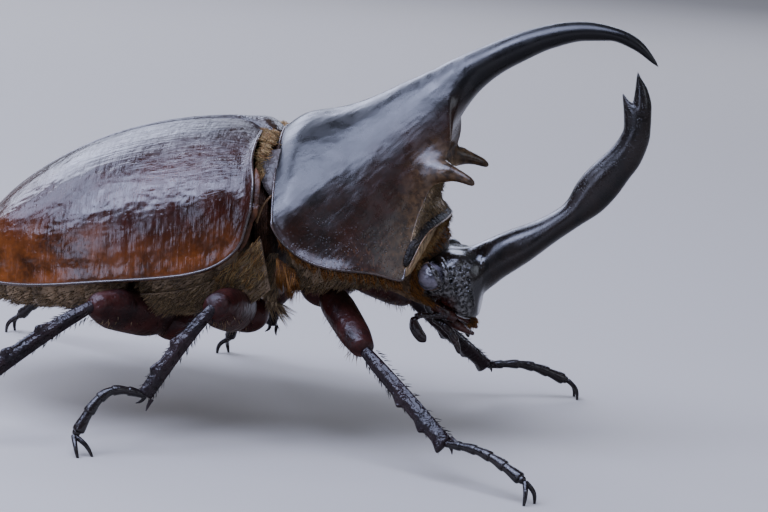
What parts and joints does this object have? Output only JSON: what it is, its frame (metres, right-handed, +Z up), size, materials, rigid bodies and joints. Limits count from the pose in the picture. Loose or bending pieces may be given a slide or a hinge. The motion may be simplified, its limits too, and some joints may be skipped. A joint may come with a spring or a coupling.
{
  "type": "male centaur beetle, a large rhinoceros beetle",
  "caption": "Male rhinoceros beetle standing with spread legs, its long thorax horn curving down over an upturned head horn, with glossy domed chestnut wing cases.",
  "frame": {"origin": "on the floor, under the middle of the bounding box", "axes": "+X towards the head and horns, +Y towards the insect's left, +Z up from the floor"},
  "size_m": [0.0814, 0.0642, 0.0495],
  "materials": {
    "black_shell": "glossy black chitin",
    "horn": "satin black chitin, finely grained",
    "wing_case": "glossy chestnut chitin with fine punctures",
    "under_shell": "satin brown chitin with short hair",
    "leg_shell": "glossy dark red-brown chitin",
    "eye": "glossy black",
    "mouth": "red-brown chitin",
    "hair": "stiff golden-orange hair"
  },
  "bodies": {
    "root": {"abdomen": "under_shell", "claws_left_front": "leg_shell", "claws_left_hind": "leg_shell", "claws_left_middle": "leg_shell", "claws_right_front": "leg_shell", "claws_right_hind": "leg_shell", "claws_right_middle": "leg_shell", "club_left": "leg_shell", "club_right": "leg_shell", "coxa_left_front": "leg_shell", "coxa_left_hind": "leg_shell", "coxa_left_middle": "leg_shell", "coxa_right_front": "leg_shell", "coxa_right_hind": "leg_shell", "coxa_right_middle": "leg_shell", "elytron_left": "wing_case", "elytron_right": "wing_case", "eye_left": "eye", "eye_right": "eye", "femur_left_front": "leg_shell", "femur_left_hind": "leg_shell", "femur_left_middle": "leg_shell", "femur_right_front": "leg_shell", "femur_right_hind": "leg_shell", "femur_right_middle": "leg_shell", "funicle_left": "leg_shell", "funicle_right": "leg_shell", "head": "black_shell", "head_horn": "horn", "mandible_left": "mouth", "mandible_right": "mouth", "mesothorax": "under_shell", "metathorax": "under_shell", "palp_left": "leg_shell", "palp_right": "leg_shell", "pronotum": "black_shell", "prosternum": "under_shell", "pygidium": "under_shell", "scutellum": "black_shell", "tarsus_left_front": "leg_shell", "tarsus_left_hind": "leg_shell", "tarsus_left_middle": "leg_shell", "tarsus_right_front": "leg_shell", "tarsus_right_hind": "leg_shell", "tarsus_right_middle": "leg_shell", "thoracic_horn": "horn", "tibia_left_front": "leg_shell", "tibia_left_hind": "leg_shell", "tibia_left_middle": "leg_shell", "tibia_right_front": "leg_shell", "tibia_right_hind": "leg_shell", "tibia_right_middle": "leg_shell"}
  },
  "joints": []
}
